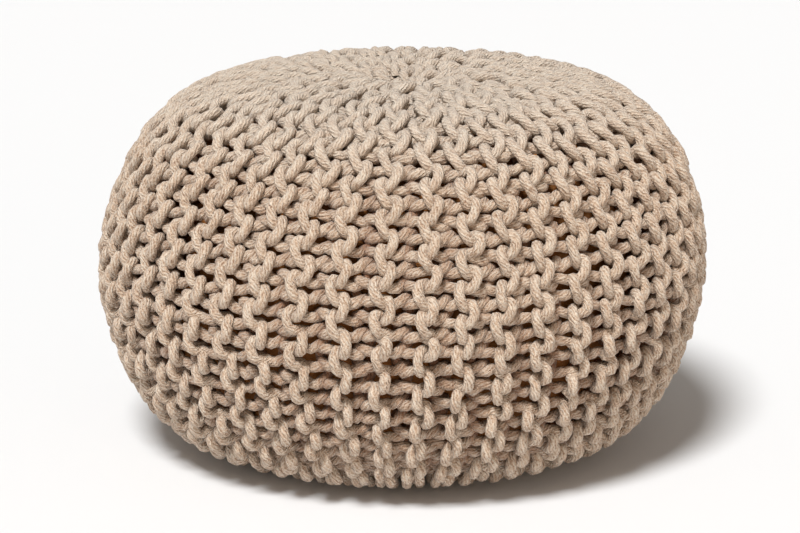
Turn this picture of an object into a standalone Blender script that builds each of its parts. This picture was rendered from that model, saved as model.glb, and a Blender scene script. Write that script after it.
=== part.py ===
# Knitted floor pouf: a thick-cord garter-stitch cover, drawn in at both poles, over a filled
# round cloth bag. The cover's ridges run from the upper pole to the lower one, and it stands
# on a flat underside. Units are metres, +Z is up and the floor is at z = 0.

import math

import bmesh
import bpy

# Overall form, measured over the crests of the ridges
WIDTH = 0.500
TOP_RISE = 0.165
BASE_DROP = 0.1464
BASE_CUT = 0.0010
TOP_FLATNESS = 4.975
TOP_FALL = 1.8215
BASE_FLATNESS = 6.206
BASE_FALL = 1.371

# Knitted cover
RIDGES = 48
COLUMNS_PER_RIDGE = 3
ROWS = 25
RIDGE_DEPTH = 0.0085
KNIT_THICKNESS = 0.0210
RIDGE_FADE_START = 0.035
RIDGE_FADE_END = 0.110
BASE_FADE_HEIGHT = 0.030
POLE_RADIUS = 0.013
DIMPLE_DEPTH = 0.012
DIMPLE_RADIUS = 0.055
EYE_RADIUS = 0.016
EYE_RISE = 0.006

# Filled bag inside
BAG_COLUMNS = 48
BAG_ROWS = 16
CLEARANCE = 0.0003

FLOOR_OFFSET = BASE_DROP - BASE_CUT


def smooth_step(value):
    clipped = min(1.0, max(0.0, value))
    return clipped * clipped * (3.0 - 2.0 * clipped)


def form_point(turn):
    # turn runs from 0 at the upper pole, through 1 at the widest level, to 2 at the lower pole
    if turn <= 1.0:
        angle = turn * math.pi / 2.0
        radius = WIDTH / 2.0 * math.sin(angle) ** (2.0 / TOP_FLATNESS)
        height = TOP_RISE * max(0.0, math.cos(angle)) ** (2.0 / TOP_FALL)
    else:
        angle = (2.0 - turn) * math.pi / 2.0
        radius = WIDTH / 2.0 * math.sin(angle) ** (2.0 / BASE_FLATNESS)
        height = -BASE_DROP * max(0.0, math.cos(angle)) ** (2.0 / BASE_FALL)
    return radius, height + FLOOR_OFFSET


def even_profile(rows, first_radius, last_radius):
    # stations at even distances along the form, from the upper pole's rim to the lower one's
    fine = [form_point(2.0 * (step / 6000.0)) for step in range(6001)]
    start = next(i for i, point in enumerate(fine) if point[0] >= first_radius)
    end = max(i for i, point in enumerate(fine) if point[0] >= last_radius)
    fine = fine[start:end + 1]
    lengths = [0.0]
    for before, after in zip(fine, fine[1:]):
        lengths.append(lengths[-1] + math.hypot(after[0] - before[0], after[1] - before[1]))
    stations = []
    position = 0
    for row in range(rows + 1):
        target = lengths[-1] * row / rows
        while position < len(lengths) - 2 and lengths[position + 1] < target:
            position += 1
        share = (target - lengths[position]) / (lengths[position + 1] - lengths[position])
        before = fine[position]
        after = fine[position + 1]
        stations.append((before[0] + share * (after[0] - before[0]),
                         before[1] + share * (after[1] - before[1])))
    return stations


def inward_normal(stations, row):
    before = stations[max(0, row - 1)]
    after = stations[min(len(stations) - 1, row + 1)]
    run = after[0] - before[0]
    fall = after[1] - before[1]
    length = math.hypot(run, fall)
    return fall / length, -run / length


def drawn_in(radius, height):
    # both poles are pulled a little into the body where the cord gathers them
    pull = smooth_step(1.0 - radius / DIMPLE_RADIUS)
    if height > FLOOR_OFFSET:
        return height - DIMPLE_DEPTH * pull
    return max(0.0, height) + EYE_RISE * pull


def offset_profile(rows, depth, first_radius, last_radius):
    stations = even_profile(rows, first_radius, last_radius)
    points = []
    for row, (radius, height) in enumerate(stations):
        across, down = inward_normal(stations, row)
        points.append((max(0.0, radius + across * depth), drawn_in(radius, height) + down * depth))
    return points


def turned_mesh(name, points, columns, closed_at_axis):
    # profile in the XZ plane at +X, from top to bottom, turned round Z
    mesh = bpy.data.meshes.new(name)
    shape = bmesh.new()
    stations = [shape.verts.new((radius, 0.0, height)) for radius, height in points]
    if closed_at_axis:
        stations.insert(0, shape.verts.new((0.0, 0.0, points[0][1])))
        stations.append(shape.verts.new((0.0, 0.0, points[-1][1])))
    for before, after in zip(stations, stations[1:]):
        shape.edges.new((before, after))
    shape.to_mesh(mesh)
    shape.free()
    turned = bpy.data.objects.new(name, mesh)
    bpy.context.scene.collection.objects.link(turned)
    screw = turned.modifiers.new("turn", "SCREW")
    screw.axis = "Z"
    screw.angle = 2.0 * math.pi
    screw.steps = columns
    screw.render_steps = columns
    screw.use_merge_vertices = True
    screw.merge_threshold = 0.00001
    screw.use_normal_calculate = True
    bpy.context.view_layer.update()
    evaluated = turned.evaluated_get(bpy.context.evaluated_depsgraph_get())
    result = bpy.data.meshes.new_from_object(evaluated)
    result.name = name
    bpy.data.objects.remove(turned)
    return result


def face_outwards(mesh):
    shape = bmesh.new()
    shape.from_mesh(mesh)
    bmesh.ops.recalc_face_normals(shape, faces=shape.faces)
    if shape.calc_volume(signed=True) < 0.0:
        bmesh.ops.reverse_faces(shape, faces=shape.faces)
    shape.to_mesh(mesh)
    shape.free()


def raise_ridges(mesh, stations):
    # valleys between the ridges sink along the form's own normal; the crests stay on the form
    heights = [drawn_in(radius, height) for radius, height in stations]
    normals = [inward_normal(stations, row) for row in range(len(stations))]
    columns = RIDGES * COLUMNS_PER_RIDGE
    for vertex in mesh.vertices:
        radius = math.hypot(vertex.co.x, vertex.co.y)
        if radius < POLE_RADIUS * 0.5:
            continue
        row = min(range(len(stations)), key=lambda i: abs(stations[i][0] - radius)
                  + abs(heights[i] - vertex.co.z))
        longitude = math.atan2(vertex.co.y, vertex.co.x)
        column = round(longitude / (2.0 * math.pi) * columns) % columns
        if column % COLUMNS_PER_RIDGE != 0:
            continue
        fade = smooth_step((radius - RIDGE_FADE_START) / (RIDGE_FADE_END - RIDGE_FADE_START))
        if heights[row] < FLOOR_OFFSET:
            fade *= smooth_step(heights[row] / BASE_FADE_HEIGHT)
        across, down = normals[row]
        sunk = RIDGE_DEPTH * fade
        vertex.co.x += math.cos(longitude) * across * sunk
        vertex.co.y += math.sin(longitude) * across * sunk
        vertex.co.z += down * sunk


def cloth_material(name, colour, roughness):
    material = bpy.data.materials.new(name)
    material.use_nodes = True
    shader = material.node_tree.nodes["Principled BSDF"]
    shader.inputs["Base Color"].default_value = (*colour, 1.0)
    shader.inputs["Roughness"].default_value = roughness
    shader.inputs["Metallic"].default_value = 0.0
    return material


def place(name, mesh, collection, material=None):
    item = bpy.data.objects.new(name, mesh)
    collection.objects.link(item)
    if material is not None:
        mesh.materials.clear()
        mesh.materials.append(material)
    return item


def cutter(name, mesh, collection):
    item = place(name, mesh, collection)
    item.hide_render = True
    item.display_type = "WIRE"
    return item


def cut(target, tool, name):
    boolean = target.modifiers.new(name, "BOOLEAN")
    boolean.operation = "DIFFERENCE"
    boolean.solver = "EXACT"
    boolean.object = tool


for old in list(bpy.data.objects):
    bpy.data.objects.remove(old)

parts = bpy.data.collections.new("knitted_pouf")
cutters = bpy.data.collections.new("cutters")
bpy.context.scene.collection.children.link(parts)
bpy.context.scene.collection.children.link(cutters)

cotton_cord = cloth_material("cotton_cord", (0.44, 0.35, 0.27), 0.9)
bag_cloth = cloth_material("bag_cloth", (0.17, 0.09, 0.05), 0.95)

# Knitted cover: turned body, ridges raised in its points, hollowed for the bag
cover_stations = even_profile(ROWS, POLE_RADIUS, POLE_RADIUS)
cover_mesh = turned_mesh("knitted_cover",
                         [(radius, drawn_in(radius, height)) for radius, height in cover_stations],
                         RIDGES * COLUMNS_PER_RIDGE, True)
raise_ridges(cover_mesh, cover_stations)
face_outwards(cover_mesh)
cover = place("knitted_cover", cover_mesh, parts, cotton_cord)

hollow_mesh = turned_mesh("cover_hollow",
                          offset_profile(BAG_ROWS, KNIT_THICKNESS, POLE_RADIUS, POLE_RADIUS),
                          BAG_COLUMNS, True)
face_outwards(hollow_mesh)
hollow = cutter("cover_hollow", hollow_mesh, cutters)
cut(cover, hollow, "hollow")

# Drawn eye under the cover, where the cord gathers the lower edge
eye_mesh = bpy.data.meshes.new("cover_eye")
eye_shape = bmesh.new()
bmesh.ops.create_cone(eye_shape, cap_ends=True, segments=24, radius1=EYE_RADIUS,
                      radius2=EYE_RADIUS, depth=0.060)
eye_shape.to_mesh(eye_mesh)
eye_shape.free()
eye = cutter("cover_eye", eye_mesh, cutters)
cut(cover, eye, "eye")

# Filled bag inside the cover
bag_mesh = turned_mesh("inner_casing",
                       offset_profile(BAG_ROWS, KNIT_THICKNESS + CLEARANCE, POLE_RADIUS,
                                      POLE_RADIUS),
                       BAG_COLUMNS, True)
face_outwards(bag_mesh)
bag_mesh.shade_smooth()
place("inner_casing", bag_mesh, parts, bag_cloth)
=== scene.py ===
import math
import random

import bmesh
import bpy
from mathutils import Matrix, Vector, noise
from mathutils.kdtree import KDTree


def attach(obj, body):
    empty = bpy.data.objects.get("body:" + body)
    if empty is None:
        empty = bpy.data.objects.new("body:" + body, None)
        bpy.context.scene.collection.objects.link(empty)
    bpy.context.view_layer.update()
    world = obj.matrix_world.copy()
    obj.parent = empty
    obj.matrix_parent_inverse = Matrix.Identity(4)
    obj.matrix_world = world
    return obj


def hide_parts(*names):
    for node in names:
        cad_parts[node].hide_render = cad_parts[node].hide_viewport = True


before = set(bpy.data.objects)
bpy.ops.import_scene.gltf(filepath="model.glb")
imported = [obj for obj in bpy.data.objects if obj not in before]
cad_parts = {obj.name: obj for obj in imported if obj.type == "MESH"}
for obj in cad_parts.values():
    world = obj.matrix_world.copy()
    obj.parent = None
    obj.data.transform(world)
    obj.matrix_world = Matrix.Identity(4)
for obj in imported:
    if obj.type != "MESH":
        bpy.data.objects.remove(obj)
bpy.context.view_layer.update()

# Knitted floor pouf. Thick cotton cord is knitted sideways in garter stitch, so the ridges run
# from pole to pole, over a filled brown bag. Every row of loops is laid here as real cord.


def smoothStep(value):
    clipped = min(1.0, max(0.0, value))
    return clipped * clipped * (3.0 - 2.0 * clipped)


def mix(start, end, share):
    return start + (end - start) * share


def hexColour(code):
    # sRGB hex to linear, with alpha
    parts = [int(code[i:i + 2], 16) / 255.0 for i in (1, 3, 5)]
    linear = [v / 12.92 if v <= 0.04045 else ((v + 0.055) / 1.055) ** 2.4 for v in parts]
    return (linear[0], linear[1], linear[2], 1.0)


# The body's form over the crests of the ridges, as a turned shape
form = {
    "width": 0.500,
    "topRise": 0.165,
    "baseDrop": 0.1464,
    "baseCut": 0.0010,
    "topFlatness": 4.975,
    "topFall": 1.8215,
    "baseFlatness": 6.206,
    "baseFall": 1.371,
    "dimpleDepth": 0.012,
    "dimpleRadius": 0.055,
    "eyeRise": 0.006,
    "lopsided": 0.0042,      # the upper half sits this far towards +X
    "leanFrom": 0.9,         # it leans from this share of the widest level
    "leanOver": 0.12,        # over this height
    "profileSteps": 8000,
    "stationGap": 0.001,     # meridian table step
    "normalReach": 6,        # stations to each side that give the outward direction
}
widestLevel = form["baseDrop"] - form["baseCut"]


def formPoint(turn):
    # 0 at the upper pole, 1 at the widest level, 2 at the lower pole
    if turn <= 1.0:
        angle = turn * math.pi / 2.0
        radius = form["width"] / 2.0 * math.sin(angle) ** (2.0 / form["topFlatness"])
        height = form["topRise"] * max(0.0, math.cos(angle)) ** (2.0 / form["topFall"])
    else:
        angle = max(0.0, (2.0 - turn) * math.pi / 2.0)
        radius = form["width"] / 2.0 * math.sin(angle) ** (2.0 / form["baseFlatness"])
        height = -form["baseDrop"] * max(0.0, math.cos(angle)) ** (2.0 / form["baseFall"])
    pull = smoothStep(1.0 - radius / form["dimpleRadius"])
    height += widestLevel
    if turn <= 1.0:
        return radius, height - form["dimpleDepth"] * pull
    return radius, max(0.0, height) + form["eyeRise"] * pull


def meridianTable():
    # radius, height and outward normal at even distances from the upper pole to the lower one
    steps = form["profileSteps"]
    fine = [formPoint(2.0 * step / steps) for step in range(steps + 1)]
    lengths = [0.0]
    for before, after in zip(fine, fine[1:]):
        lengths.append(lengths[-1] + math.hypot(after[0] - before[0], after[1] - before[1]))
    count = int(lengths[-1] / form["stationGap"])
    points = []
    position = 0
    for station in range(count + 1):
        target = lengths[-1] * station / count
        while position < len(lengths) - 2 and lengths[position + 1] < target:
            position += 1
        share = (target - lengths[position]) / max(1e-9, lengths[position + 1] - lengths[position])
        points.append((mix(fine[position][0], fine[position + 1][0], share),
                       mix(fine[position][1], fine[position + 1][1], share)))
    table = []
    for station, (radius, height) in enumerate(points):
        before = points[max(0, station - form["normalReach"])]
        after = points[min(count, station + form["normalReach"])]
        run = after[0] - before[0]
        fall = after[1] - before[1]
        length = math.hypot(run, fall)
        table.append((radius, height, -fall / length, run / length))
    return table, lengths[-1]


meridian, meridianLength = meridianTable()


def onMeridian(distance):
    place = min(1.0, max(0.0, distance / meridianLength)) * (len(meridian) - 1)
    low = min(len(meridian) - 2, int(place))
    share = place - low
    return [mix(a, b, share) for a, b in zip(meridian[low], meridian[low + 1])]


def driftAt(height):
    # the whole pouf leans a little to one side above its widest level
    rise = (height - widestLevel * form["leanFrom"]) / form["leanOver"]
    return form["lopsided"] * smoothStep(rise)


def onBody(distance, longitude, depth):
    # a point that far along the meridian, at that longitude, sunk by depth along the normal
    radius, height, across, up = onMeridian(distance)
    reach = radius - across * depth
    level = height - up * depth
    return Vector((reach * math.cos(longitude) + driftAt(height), reach * math.sin(longitude), level))


# Cotton cord, knitted: two rows of loops to a ridge, out and back. The arcs' values and the
# relief with three parts are for the top, mid height and below, those with two for the last two.
knit = {
    "ridges": 48,
    "cordRadius": 0.0042,
    "lumps": 0.14,               # the soft cord's thickness varies by this share
    "lumpScales": (110.0, 290.0),
    "smallLumps": 1.2,           # strength of the smaller ones
    "lumpRoom": 1.4,             # lumps that a cord on the floor has room for
    "stitches": 23,              # loops from pole to pole
    "edgeRadius": 0.013,         # the drawn-in edge at each pole
    # loop length by share of the way down
    "loopLengths": [(0.0, 0.024), (0.12, 0.030), (0.20, 0.037), (0.26, 0.0375), (0.30, 0.0335),
                    (0.34, 0.0298), (0.38, 0.0275), (0.44, 0.0268), (0.49, 0.0268), (0.55, 0.0312),
                    (0.65, 0.0315), (0.80, 0.0285), (1.0, 0.023)],
    "topUntil": (0.38, 0.14),    # the top's values end at this share, and fade before it over this
    "lowFrom": (0.43, 0.16),     # those for below start at this share, and come in over this
    "arcReach": (0.0077, 0.0062, 0.0045),    # how far an arc lies from its ridge's middle
    "leastReach": 0.8,           # at least this many cord radii
    "ridgeGap": 0.0077,          # room left between the arcs of neighbouring ridges
    "arcWidth": (1.06, 0.64),    # how round an arc bulges along the ridge
    "squareness": (0.01, 0.07),  # how straight the middle of an arc is
    "swing": (0.34, 0.12),       # how far the bulge sits towards the upper end, radians
    "lean": 0.22,                # slope of the loops across each ridge
    "leastRadius": 0.010,        # nothing is spread over a smaller circle than this
    "relief": (0.80, 0.98, 1.12),
    "crest": 0.0066,             # depth of the weave, as three waves
    "weave": 0.0014,
    "flatten": 0.0008,
    "proud": 0.0016,             # the arcs in front stand further out than those behind
    "shingle": 0.0007,           # lower ends of the arcs lie on top
    "waver": 0.0036,             # hand-knitted unevenness
    "calm": (0.02, 0.06),        # less of it inside this radius, and up to this much further out
    "jitter": 0.0021,
    "topJitter": 0.4,            # this much more of it on top
    "fade": 0.086,               # how soon a short ridge widens from its end
    "deepest": 0.020,            # depth that counts as 1 in the depth map
    "endReach": 0.004,           # loose ends go in this far, and down this far
    "endDrop": 0.006,
    "bendPull": 0.030,           # how wide the cord turns into the next row
    "bendSteps": 8,
    "pointsPerStitch": 20,
    "sectors": 8,
    "startAngle": math.radians(22.5),
    "seed": 12,
}
liftReach = knit["crest"] + knit["weave"] - knit["flatten"] + knit["proud"]
# The lowest level of a cord's middle
standing = knit["cordRadius"] * (1.0 + knit["lumpRoom"] * knit["lumps"])


def loopLengthAt(share):
    stops = knit["loopLengths"]
    for (low, first), (high, last) in zip(stops, stops[1:]):
        if share <= high:
            return mix(first, last, (share - low) / (high - low))
    return stops[-1][1]


def loopPlaces():
    # where each loop begins along the meridian; the last entry is where the last one ends
    edge = knit["edgeRadius"]
    places = [edge]
    for stitch in range(knit["stitches"]):
        start = places[-1]
        half = start + loopLengthAt(start / meridianLength) / 2.0
        places.append(start + loopLengthAt(half / meridianLength))
    fit = (meridianLength - 2.0 * edge) / (places[-1] - edge)
    print("loops scaled to fit by", round(fit, 4))
    return [edge + (place - edge) * fit for place in places]


loopEdges = loopPlaces()
ridgesPerSector = knit["ridges"] // knit["sectors"]
dice = random.Random(knit["seed"])
# Short rows: in each sector of six ridges only some reach the poles
missingStitches = [0, 4, 3, 1, 4, 3]


def ridgeEnds(ridge):
    slot = ridge % ridgesPerSector
    return missingStitches[slot], knit["stitches"] - missingStitches[slot]


def ridgeWeight(ridge, distance):
    # a ridge's share of the width fades out where its short rows end
    first, last = ridgeEnds(ridge)
    weight = 1.0
    fade = knit["fade"]
    if first > 0:
        weight *= smoothStep((distance - loopEdges[first - 1]) / fade)
    if last < knit["stitches"]:
        weight *= smoothStep((loopEdges[last + 1] - distance) / fade)
    return weight


def ridgeSpan(ridge, distance):
    # longitude of the ridge's middle, and its angular width, at that distance from the pole
    sector = ridge // ridgesPerSector
    slot = ridge % ridgesPerSector
    weights = [ridgeWeight(sector * ridgesPerSector + i, distance) for i in range(ridgesPerSector)]
    unit = 2.0 * math.pi / knit["sectors"] / sum(weights)
    low = knit["startAngle"] + sector * 2.0 * math.pi / knit["sectors"] + sum(weights[:slot]) * unit
    return low + weights[slot] * unit / 2.0, weights[slot] * unit


# Slow drift of the rows: noise scale, strength, and place in the noise
wander = {
    "side": (9.0, 1.6, Vector((0.0, 0.0, 0.0))),
    "sideFine": (23.0, 0.7, Vector((5.0, 2.0, 1.0))),
    "along": (8.0, 2.0, Vector((11.0, 3.0, 7.0))),
}


def wanderNoise(point, kind):
    scale, strength, place = wander[kind]
    return noise.noise(point * scale + place) * knit["waver"] * strength


def unevenness(point):
    # sideways and along the ridge, the same for neighbouring rows
    return wanderNoise(point, "side") + wanderNoise(point, "sideFine"), wanderNoise(point, "along")


def looseness():
    return [dice.uniform(-1.0, 1.0) * knit["jitter"] for axis in range(3)]


def rowPath(ridge, backRow):
    # one row of loops, from its upper end to its lower end; heads lean to the right
    first, last = ridgeEnds(ridge)
    heads = [looseness() for stitch in range(knit["stitches"])]
    feet = [looseness() for stitch in range(knit["stitches"] + 1)]
    steps = knit["pointsPerStitch"]
    path = []
    depths = []
    for stitch in range(first, last):
        middle = (loopEdges[stitch] + loopEdges[stitch + 1]) / 2.0
        loopPitch = loopEdges[stitch + 1] - loopEdges[stitch]
        share = middle / meridianLength
        low = smoothStep((share - knit["lowFrom"][0]) / knit["lowFrom"][1])
        pressed = smoothStep((knit["topUntil"][0] - share) / knit["topUntil"][1])
        width, square, swing = [mix(*knit[key], low) for key in ("arcWidth", "squareness", "swing")]
        reachHere, relief = [mix(mix(knit[key][1], knit[key][2], low), knit[key][0], pressed)
                             for key in ("arcReach", "relief")]
        for step in range(steps + (1 if stitch == last - 1 else 0)):
            t = -math.pi + 2.0 * math.pi * step / steps
            along = loopPitch / (2.0 * math.pi) * (t + width * math.sin(2.0 * t))
            distance = middle + along
            radius = max(knit["leastRadius"], onMeridian(distance)[0])
            centre, span = ridgeSpan(ridge, distance)
            spacing = span * radius
            reach = min(reachHere, max(knit["leastReach"] * knit["cordRadius"],
                                       (spacing - knit["ridgeGap"]) / 2.0))
            swung = t + swing
            across = math.cos(swung) - square * math.cos(3.0 * swung)
            side = (spacing / 4.0 + reach) * across / (1.0 - square)
            side += spacing / 4.0 if backRow else -spacing / 4.0
            turn = 2.0 * math.pi / spacing
            distance += knit["lean"] / turn * math.sin(turn * side)
            phase = t + swing / 2.0
            lift = knit["crest"] * math.cos(phase) + knit["weave"] * math.cos(3.0 * phase)
            lift -= knit["flatten"] * math.cos(5.0 * phase)
            if backRow:
                lift = -lift
            lift += knit["proud"] * max(0.0, lift) / knit["crest"]
            lift = (lift + knit["shingle"] * math.sin(2.0 * t)) * relief
            headShare = (1.0 + math.cos(t)) / 2.0
            loose = heads[stitch]
            foot = feet[stitch] if t < 0.0 else feet[stitch + 1]
            slack = 1.0 + knit["topJitter"] * pressed
            extra = [(a * headShare + b * (1.0 - headShare)) * slack for a, b in zip(loose, foot)]
            guide = onBody(distance, centre, 0.0)
            driftSide, driftAlong = unevenness(guide)
            calm = smoothStep((radius - knit["calm"][0]) / knit["calm"][1])
            side += driftSide * calm + extra[0]
            distance += driftAlong * calm + extra[1]
            lift += min(0.0, extra[2])
            depth = knit["cordRadius"] + liftReach * relief - lift
            point = onBody(distance, centre + side / radius, depth)
            point.z = max(point.z, standing)
            path.append(point)
            depths.append(depth)
    return path, depths


def turnBack(start, startWay, end, endWay):
    # the cord turns from the end of one row into the next
    pull = knit["bendPull"]
    points = []
    for step in range(1, knit["bendSteps"]):
        s = step / knit["bendSteps"]
        point = start * (2 * s ** 3 - 3 * s ** 2 + 1) + startWay * (pull * (s ** 3 - 2 * s ** 2 + s))
        point += end * (-2 * s ** 3 + 3 * s ** 2)
        point += endWay * (pull * (s ** 3 - s ** 2))
        point.z = max(point.z, standing)
        points.append(point)
    return points


def ridgePath(ridge):
    down, downDepths = rowPath(ridge, False)
    up, upDepths = rowPath(ridge, True)
    up.reverse()
    upDepths.reverse()
    turn = turnBack(down[-1], (down[-1] - down[-2]).normalized(), up[0], (up[1] - up[0]).normalized())
    path = down + turn + up
    depths = downDepths + [downDepths[-1]] * len(turn) + upDepths
    centreLine = Vector((driftAt(path[0].z), 0.0, path[0].z))
    under = Vector((0.0, 0.0, -knit["endDrop"]))
    start = path[0] + (centreLine - path[0]).normalized() * knit["endReach"] + under
    end = path[-1] + (centreLine - path[-1]).normalized() * knit["endReach"] + under
    return [start] + path + [end], depths[:1] + depths + depths[-1:]


def cordMesh(name, path, depths, radius, cyclic=False, rings=2):
    # a bevelled curve made a mesh, with U running along the cord in turns of its girth, and a
    # second map that says how deep the cord lies under the crests, which sets the painted shade in the
    # hollows
    curve = bpy.data.curves.new(name, "CURVE")
    curve.dimensions = "3D"
    curve.bevel_depth = radius
    curve.bevel_resolution = rings
    curve.use_fill_caps = not cyclic
    spline = curve.splines.new("POLY")
    spline.points.add(len(path) - 1)
    for place, point in zip(spline.points, path):
        place.co = (point.x, point.y, point.z, 1.0)
        lump, small = [noise.noise(point * scale) for scale in knit["lumpScales"]]
        place.radius = 1.0 + knit["lumps"] * (lump + knit["smallLumps"] * small)
    spline.use_cyclic_u = cyclic
    holder = bpy.data.objects.new(name, curve)
    bpy.context.scene.collection.objects.link(holder)
    bpy.context.view_layer.update()
    evaluated = holder.evaluated_get(bpy.context.evaluated_depsgraph_get())
    mesh = bpy.data.meshes.new_from_object(evaluated)
    bpy.data.objects.remove(holder)
    bpy.data.curves.remove(curve)
    lengths = [0.0]
    looped = path + [path[0]]
    for before, after in zip(looped, looped[1:]):
        lengths.append(lengths[-1] + (after - before).length)
    spans = len(path) if cyclic else len(path) - 1
    girth = 2.0 * math.pi * radius
    deep = mesh.uv_layers.new(name="depthMap", do_init=False)
    for corner, sunk in zip(mesh.uv_layers["UVMap"].data, deep.data):
        ring = min(spans, round(corner.uv[0] * spans))
        corner.uv[0] = lengths[ring] / girth
        sunk.uv = (depths[ring % len(path)] / knit["deepest"], 0.5)
    mesh.shade_smooth()
    item = bpy.data.objects.new(name, mesh)
    bpy.context.scene.collection.objects.link(item)
    return item


def joined(items, name):
    with bpy.context.temp_override(active_object=items[0], selected_editable_objects=items):
        bpy.ops.object.join()
    items[0].name = name
    items[0].data.name = name
    return items[0]


# Soft cords press each other aside until their middles lie a gap apart
press = {
    "rounds": 6,
    "gap": 0.0066,
    "share": 0.5,            # how much of what is missing each round adds
    "ownCord": 4,            # points this near along the same cord don't count
    "limit": 0.0020,         # no point moves further than this, nor outward further than the next
    "outward": 0.0006,
    "halfHeight": 0.155,     # of the body, for the outward direction
}


def outwardAt(point):
    # the way out of the body, near enough for a limit on how far a cord may rise
    halfWidth = form["width"] / 2.0
    return Vector(((point.x - driftAt(point.z)) / halfWidth, point.y / halfWidth,
                   (point.z - widestLevel) / press["halfHeight"])).normalized()


def pressApart(paths):
    places = [(cord, i) for cord, path in enumerate(paths) for i in range(len(path))]
    laid = [[point.copy() for point in path] for path in paths]
    for turn in range(press["rounds"]):
        tree = KDTree(len(places))
        for index, (cord, i) in enumerate(places):
            tree.insert(paths[cord][i], index)
        tree.balance()
        shifts = []
        for cord, i in places:
            point = paths[cord][i]
            push = Vector()
            weight = 0.0
            for other, index, distance in tree.find_range(point, press["gap"]):
                otherCord, otherPlace = places[index]
                if otherCord == cord and abs(otherPlace - i) < press["ownCord"] or distance < 1e-7:
                    continue
                short = press["gap"] - distance
                push += (point - other) * (short * short / distance)
                weight += short
            shifts.append(push * (press["share"] / weight) if weight > 0.0 else push)
        for (cord, i), shift in zip(places, shifts):
            start = laid[cord][i]
            moved = paths[cord][i] + shift - start
            if moved.length > press["limit"]:
                moved *= press["limit"] / moved.length
            out = outwardAt(start)
            moved -= out * max(0.0, moved.dot(out) - press["outward"])
            paths[cord][i] = start + moved
            paths[cord][i].z = max(paths[cord][i].z, standing)


laidRidges = [ridgePath(ridge) for ridge in range(knit["ridges"])]
pressApart([path for path, depths in laidRidges])
print("cords pressed apart")
sectors = []
for sector in range(knit["sectors"]):
    ridges = []
    for slot in range(ridgesPerSector):
        path, depths = laidRidges[sector * ridgesPerSector + slot]
        ridges.append(cordMesh("ridge", path, depths, knit["cordRadius"]))
    sectors.append(joined(ridges, "knitSector" + str(sector + 1)))
print("knitted rows laid:", sum(len(piece.data.polygons) for piece in sectors), "faces")

# Cord that gathers the edge at each pole, and strands that close the upper one
gather = {
    "radius": 0.0125,
    "waves": 8,
    "waveDepth": 0.0022,
    "cordRadius": 0.0040,
    "points": 96,
    "topSink": 0.010,        # below the cover's edge
    "underLevel": 0.013,
    "depth": 0.012,          # under the crests, for the depth map
    "strands": 3,
    "strandTurn": 0.3,
    "strandSink": 0.016,
    "strandArch": 0.006,
    "strandRise": 0.0016,    # each lies this much above the last
    "strandHalf": 7,         # steps from the middle to an end
}


def gatherPath(height, sign):
    points = []
    for step in range(gather["points"]):
        angle = 2.0 * math.pi * step / gather["points"]
        reach = gather["radius"] + gather["waveDepth"] * math.cos(gather["waves"] * angle)
        lift = gather["waveDepth"] * math.sin(gather["waves"] * angle) * sign
        points.append(Vector((reach * math.cos(angle) + driftAt(height), reach * math.sin(angle),
                              height + lift)))
    return points


topLevel = onMeridian(0.0)[1]
drawn = []
for name, height, sign in (("gatherTop", topLevel - gather["topSink"], 1.0),
                           ("gatherUnder", gather["underLevel"], -1.0)):
    ring = gatherPath(height, sign)
    drawn.append(cordMesh(name, ring, [gather["depth"]] * len(ring), gather["cordRadius"], True))
for turn in range(gather["strands"]):
    angle = turn * math.pi / gather["strands"] + gather["strandTurn"]
    way = Vector((math.cos(angle), math.sin(angle), 0.0))
    strand = []
    for step in range(2 * gather["strandHalf"] + 1):
        s = step / gather["strandHalf"] - 1.0
        level = topLevel - gather["strandSink"] + gather["strandArch"] * (1.0 - s * s)
        level += turn * gather["strandRise"]
        strand.append(way * (s * gather["radius"]) + Vector((driftAt(level), 0.0, level)))
    drawn.append(cordMesh("closing", strand, [gather["depth"]] * len(strand), gather["cordRadius"]))
drawCord = joined(drawn, "drawCord")

# Filled bag inside
bag = {
    "gap": 0.0252,           # below the crests of the ridges
    "rows": 44,
    "turns": 128,
    "ends": 0.004,           # the profile starts and ends this share from the poles
    "crease": 0.0011,
    "creaseScale": 26.0,
    "fineCreases": (2.3, 0.5),   # their scale and strength against the large ones
    "creaseMiddle": 0.6,
    "creaseSwing": 0.5,
    "weld": 0.00002,
}


def bagObject():
    shape = bmesh.new()
    stations = []
    for row in range(bag["rows"] + 1):
        distance = meridianLength * mix(bag["ends"], 1.0 - bag["ends"], row / bag["rows"])
        radius, height, across, up = onMeridian(distance)
        reach = 0.0 if row in (0, bag["rows"]) else max(0.0, radius - across * bag["gap"])
        stations.append(shape.verts.new((reach, 0.0, height - up * bag["gap"])))
    for before, after in zip(stations, stations[1:]):
        shape.edges.new((before, after))
    bmesh.ops.spin(shape, geom=shape.verts[:] + shape.edges[:], axis=(0.0, 0.0, 1.0),
                   angle=2.0 * math.pi, steps=bag["turns"], use_merge=True)
    bmesh.ops.remove_doubles(shape, verts=shape.verts[:], dist=bag["weld"])
    bmesh.ops.recalc_face_normals(shape, faces=shape.faces[:])
    finer, fineStrength = bag["fineCreases"]
    for vertex in shape.verts:
        place = vertex.co * bag["creaseScale"]
        fold = noise.noise(place) + fineStrength * noise.noise(place * finer)
        vertex.co -= vertex.normal * bag["crease"] * (bag["creaseMiddle"] + bag["creaseSwing"] * fold)
        vertex.co.x += driftAt(vertex.co.z)
    mesh = bpy.data.meshes.new("fillingBag")
    shape.to_mesh(mesh)
    shape.free()
    mesh.shade_smooth()
    item = bpy.data.objects.new("fillingBag", mesh)
    bpy.context.scene.collection.objects.link(item)
    return item


fillingBag = bagObject()
print("filled bag made")


def addNode(material, kind, settings=None, links=None):
    # one node, with its settings by socket or property name, and links as socket: (node, output)
    node = material.node_tree.nodes.new(kind)
    for key, value in (settings or {}).items():
        if isinstance(key, int) or key in node.inputs:
            node.inputs[key].default_value = value
        else:
            setattr(node, key, value)
    for key, (source, output) in (links or {}).items():
        material.node_tree.links.new(source.outputs[output], node.inputs[key])
    return node


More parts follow.
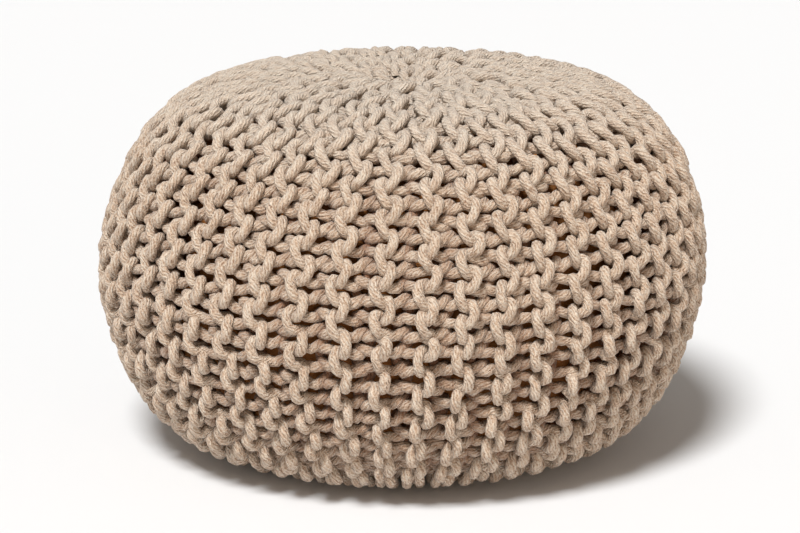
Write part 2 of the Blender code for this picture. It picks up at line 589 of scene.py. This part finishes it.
def blankMaterial(name):
    material = bpy.data.materials.new(name)
    material.use_nodes = True
    shader = material.node_tree.nodes["Principled BSDF"]
    return material, shader


def ranged(material, link, fromRange, toRange):
    # a value carried from one range to another
    return addNode(material, "ShaderNodeMapRange",
                   {"From Min": fromRange[0], "From Max": fromRange[1],
                    "To Min": toRange[0], "To Max": toRange[1]}, {"Value": link})


def added(material, first, second):
    return addNode(material, "ShaderNodeMath", {"operation": "ADD"}, {0: first, 1: second})


def rampColours(node, stops):
    ramp = node.color_ramp
    while len(ramp.elements) < len(stops):
        ramp.elements.new(0.5)
    for element, (place, code) in zip(ramp.elements, stops):
        element.position = place
        element.color = hexColour(code)


# Twisted cotton cord, undyed beige: matt and a little hairy, with slanting strands
cordLook = {
    "light": "#DCCEBD",
    "middle": "#C7AD95",
    "dark": "#86654C",
    "stops": (0.0, 0.45, 0.85),  # where those three lie, from the dark one up
    # painted shade: the brown colour of the cord where it lies deep
    "deep": "#7E4E2A",
    # painted light: the paler, greyer colour mixed in over the top
    "paintedTopLight": "#DED7CC",
    "plyPitch": 0.0042,          # one strand's turn along the cord
    "plies": 8.0,                # strands round it
    "plyWander": 0.0035,
    "plyStray": 1.3,
    "plyTone": (0.32, 0.68),
    "streak": (0.0034, 0.0013),  # length and width of a loose fibre
    "streakSlant": 0.45,
    "streakTone": 0.28,
    "fibreGrain": 0.0013,
    "grainTone": 0.27,
    "patchScale": 150.0,
    "patchTone": 0.16,
    "paintedTopLightFrom": (0.25, 0.31),    # heights
    "paintedTopLightShare": 0.38,
    "paintedShadeFrom": (0.60, 0.95),    # of the depth map
    "paintedShadeShare": 0.9,
    "plyRelief": 0.28,
    "relief": 0.0013,
    "roughness": 0.92,
    "sheen": 0.25,
}


def cottonCord():
    material, shader = blankMaterial("undyedCottonCord")
    girth = 2.0 * math.pi * knit["cordRadius"]
    uv = addNode(material, "ShaderNodeUVMap", {"uv_map": "UVMap"})
    where = addNode(material, "ShaderNodeTexCoord")
    # strands: twisted bands that close round the cord, a little unsettled
    slant = addNode(material, "ShaderNodeMapping",
                    {"Scale": (girth / cordLook["plyPitch"], cordLook["plies"], 1.0)},
                    {"Vector": (uv, "UV")})
    split = addNode(material, "ShaderNodeSeparateXYZ", None, {"Vector": (slant, "Vector")})
    rise = added(material, (split, "X"), (split, "Y"))
    unsettled = addNode(material, "ShaderNodeTexNoise",
                        {"Scale": 1.0 / cordLook["plyWander"], "Detail": 1.0},
                        {"Vector": (where, "Object")})
    wandering = addNode(material, "ShaderNodeMath", {"operation": "MULTIPLY_ADD", 1: cordLook["plyStray"]},
                        {0: (unsettled, "Fac"), 2: (rise, "Value")})
    turns = addNode(material, "ShaderNodeMath", {"operation": "MULTIPLY", 1: 2.0 * math.pi},
                    {0: (wandering, "Value")})
    plies = addNode(material, "ShaderNodeMath", {"operation": "SINE"}, {0: (turns, "Value")})
    # loose fibres that slant along the cord
    length, width = cordLook["streak"]
    run = addNode(material, "ShaderNodeMapping",
                  {"vector_type": "TEXTURE", "Rotation": (0.0, 0.0, -cordLook["streakSlant"]),
                   "Scale": (length / girth, width / girth, 1.0)}, {"Vector": (uv, "UV")})
    streaks = addNode(material, "ShaderNodeTexNoise", {"Scale": 1.0, "Detail": 2.0, "Distortion": 1.2},
                      {"Vector": (run, "Vector")})
    # fibre grain and paler and darker patches
    grain = addNode(material, "ShaderNodeTexNoise",
                    {"Scale": 1.0 / cordLook["fibreGrain"], "Detail": 3.0, "Roughness": 0.65},
                    {"Vector": (where, "Object")})
    patch = addNode(material, "ShaderNodeTexNoise", {"Scale": cordLook["patchScale"], "Detail": 3.0},
                    {"Vector": (where, "Object")})
    patchy = addNode(material, "ShaderNodeMath", {"operation": "MULTIPLY"},
                     {0: (plies, "Value"), 1: (streaks, "Fac")})
    # each from the range that its texture mostly keeps to
    plyShade = ranged(material, (patchy, "Value"), (-0.55, 0.35), cordLook["plyTone"])
    grainShade = ranged(material, (grain, "Fac"), (0.32, 0.68),
                        (-cordLook["grainTone"], cordLook["grainTone"]))
    patchShade = ranged(material, (patch, "Fac"), (0.3, 0.7),
                        (-cordLook["patchTone"], cordLook["patchTone"]))
    streakShade = ranged(material, (streaks, "Fac"), (0.3, 0.7),
                         (-cordLook["streakTone"], cordLook["streakTone"]))
    fibres = added(material, (streakShade, "Result"), (grainShade, "Result"))
    strands = added(material, (plyShade, "Result"), (fibres, "Value"))
    tone = added(material, (strands, "Value"), (patchShade, "Result"))
    colour = addNode(material, "ShaderNodeValToRGB", None, {"Fac": (tone, "Value")})
    shades = [cordLook[name] for name in ("dark", "middle", "light")]
    rampColours(colour, list(zip(cordLook["stops"], shades)))
    # painted light: greyer and paler over the top, where it sees most light
    spot = addNode(material, "ShaderNodeSeparateXYZ", None, {"Vector": (where, "Object")})
    paintedTopLightMask = ranged(material, (spot, "Z"), cordLook["paintedTopLightFrom"], (0.0, cordLook["paintedTopLightShare"]))
    paintedTopLight = addNode(material, "ShaderNodeMix", {"data_type": "RGBA", 7: hexColour(cordLook["paintedTopLight"])},
                   {0: (paintedTopLightMask, "Result"), 6: (colour, "Color")})
    # painted shade: browner where the cord lies deep between the ridges, where shade falls
    sunk = addNode(material, "ShaderNodeUVMap", {"uv_map": "depthMap"})
    sunkSplit = addNode(material, "ShaderNodeSeparateXYZ", None, {"Vector": (sunk, "UV")})
    paintedShadeMask = ranged(material, (sunkSplit, "X"), cordLook["paintedShadeFrom"], (0.0, cordLook["paintedShadeShare"]))
    paintedDeepShade = addNode(material, "ShaderNodeMix", {"data_type": "RGBA", 7: hexColour(cordLook["deep"])},
                      {0: (paintedShadeMask, "Result"), 6: (paintedTopLight, 2)})
    fibreHeight = added(material, (streaks, "Fac"), (grain, "Fac"))
    height = addNode(material, "ShaderNodeMath", {"operation": "MULTIPLY_ADD", 1: cordLook["plyRelief"]},
                     {0: (plies, "Value"), 2: (fibreHeight, "Value")})
    bump = addNode(material, "ShaderNodeBump", {"Strength": 1.0, "Distance": cordLook["relief"]},
                   {"Height": (height, "Value")})
    links = material.node_tree.links
    links.new(paintedDeepShade.outputs[2], shader.inputs["Base Color"])
    links.new(bump.outputs["Normal"], shader.inputs["Normal"])
    shader.inputs["Roughness"].default_value = cordLook["roughness"]
    shader.inputs["Metallic"].default_value = 0.0
    shader.inputs["IOR"].default_value = 1.45
    shader.inputs["Specular IOR Level"].default_value = 0.25
    shader.inputs["Sheen Weight"].default_value = cordLook["sheen"]
    shader.inputs["Sheen Roughness"].default_value = 0.6
    return material


# Plain woven cotton bag, brown: flat, dull cloth with threads 1.2 mm apart, drawn coarse to show
bagLook = {
    "light": "#AC7342",
    "dark": "#754722",
    "thread": 0.0012,
    "warpTone": 0.4,
    "relief": 0.0005,
}


def bagCloth():
    material, shader = blankMaterial("wovenCottonBag")
    where = addNode(material, "ShaderNodeTexCoord")
    # a wave texture's bands lie 0.314 / scale apart
    warp = addNode(material, "ShaderNodeTexWave",
                   {"bands_direction": "Z", "Scale": 0.314 / bagLook["thread"], "Distortion": 0.6},
                   {"Vector": (where, "Object")})
    grain = addNode(material, "ShaderNodeTexNoise", {"Scale": 1.0 / bagLook["thread"], "Detail": 3.0},
                    {"Vector": (where, "Object")})
    tone = addNode(material, "ShaderNodeMath", {"operation": "MULTIPLY_ADD", 1: bagLook["warpTone"]},
                   {0: (warp, "Fac"), 2: (grain, "Fac")})
    colour = addNode(material, "ShaderNodeValToRGB", None, {"Fac": (tone, "Value")})
    rampColours(colour, [(0.3, bagLook["dark"]), (0.95, bagLook["light"])])
    bump = addNode(material, "ShaderNodeBump", {"Strength": 0.5, "Distance": bagLook["relief"]},
                   {"Height": (tone, "Value")})
    links = material.node_tree.links
    links.new(colour.outputs["Color"], shader.inputs["Base Color"])
    links.new(bump.outputs["Normal"], shader.inputs["Normal"])
    shader.inputs["Roughness"].default_value = 0.95
    shader.inputs["Specular IOR Level"].default_value = 0.2
    return material


cordMaterial = cottonCord()
bagMaterial = bagCloth()
for piece in sectors + [drawCord]:
    piece.data.materials.clear()
    piece.data.materials.append(cordMaterial)
    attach(piece, "root")
    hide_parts("knitted_cover")
fillingBag.data.materials.append(bagMaterial)
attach(fillingBag, "root")
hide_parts("inner_casing")
print("finishes set")

# Studio: pale floor, white surround brightest at the horizon, one large soft light from the
# upper left in front, and a weak warm one low on the right in front
studio = {
    "floor": "#E8EAED",
    "floorHalf": 6.0,
    "tint": "#FFF6EC",
    "horizon": 1.15,
    "overhead": 0.22,
    "horizonTo": 0.4,        # the surround is down to its overhead strength at this rise
    "key": 3.66,
    "keyAngle": 16.0,
    "keyTint": "#FFFEFC",
    "keyWay": (0.46, 1.3, -2.05),
    "front": 7.5,
    "frontTint": "#FFDDB8",
    "frontPlace": (0.9, -2.2, 0.40),
    "frontSize": 1.2,
    "frontTarget": (0.0, 0.0, 0.16),
}


def addLight(name, kind, power, tint, way):
    light = bpy.data.lights.new(name, kind)
    light.energy = power
    light.color = hexColour(tint)[:3]
    holder = bpy.data.objects.new(name, light)
    bpy.context.scene.collection.objects.link(holder)
    holder.rotation_euler = Vector(way).to_track_quat("-Z", "Y").to_euler()
    return holder


def studioFloor():
    shape = bmesh.new()
    bmesh.ops.create_grid(shape, x_segments=1, y_segments=1, size=studio["floorHalf"])
    mesh = bpy.data.meshes.new("studioFloor")
    shape.to_mesh(mesh)
    shape.free()
    item = bpy.data.objects.new("studioFloor", mesh)
    bpy.context.scene.collection.objects.link(item)
    material, shader = blankMaterial("paleFloor")
    shader.inputs["Base Color"].default_value = hexColour(studio["floor"])
    shader.inputs["Roughness"].default_value = 0.9
    mesh.materials.append(material)


studioFloor()
keyLight = addLight("keyLight", "SUN", studio["key"], studio["keyTint"], studio["keyWay"])
keyLight.data.angle = math.radians(studio["keyAngle"])
frontWay = Vector(studio["frontTarget"]) - Vector(studio["frontPlace"])
frontLight = addLight("frontLight", "AREA", studio["front"], studio["frontTint"], frontWay)
frontLight.data.shape = "DISK"
frontLight.data.size = studio["frontSize"]
frontLight.location = studio["frontPlace"]
world = bpy.data.worlds.new("studio")
world.use_nodes = True
backdrop = world.node_tree.nodes["Background"]
backdrop.inputs["Color"].default_value = hexColour(studio["tint"])
skyWay = addNode(world, "ShaderNodeTexCoord")
skyParts = addNode(world, "ShaderNodeSeparateXYZ", None, {"Vector": (skyWay, "Generated")})
skyShade = ranged(world, (skyParts, "Z"), (0.0, studio["horizonTo"]),
                  (studio["horizon"], studio["overhead"]))
world.node_tree.links.new(skyShade.outputs["Result"], backdrop.inputs["Strength"])
bpy.context.scene.world = world
bpy.context.scene.view_settings.view_transform = "Standard"

# Camera 14 degrees above level, 2.5 m from the middle of the widest level
lens = {
    "elevation": 14.0,
    "distance": 2.5,
    "left": 0.0012,
    "focalPixels": 3038.5,
    "framePixels": 800.0,
    "sensor": 36.0,
}
angle = math.radians(lens["elevation"])
cameraData = bpy.data.cameras.new("camera")
cameraData.lens = lens["focalPixels"] * lens["sensor"] / lens["framePixels"]
cameraData.sensor_width = lens["sensor"]
camera = bpy.data.objects.new("camera", cameraData)
bpy.context.scene.collection.objects.link(camera)
camera.location = (-lens["left"], -lens["distance"] * math.cos(angle),
                   widestLevel + lens["distance"] * math.sin(angle))
camera.rotation_euler = (math.pi / 2.0 - angle, 0.0, 0.0)
bpy.context.scene.camera = camera
print("studio set")
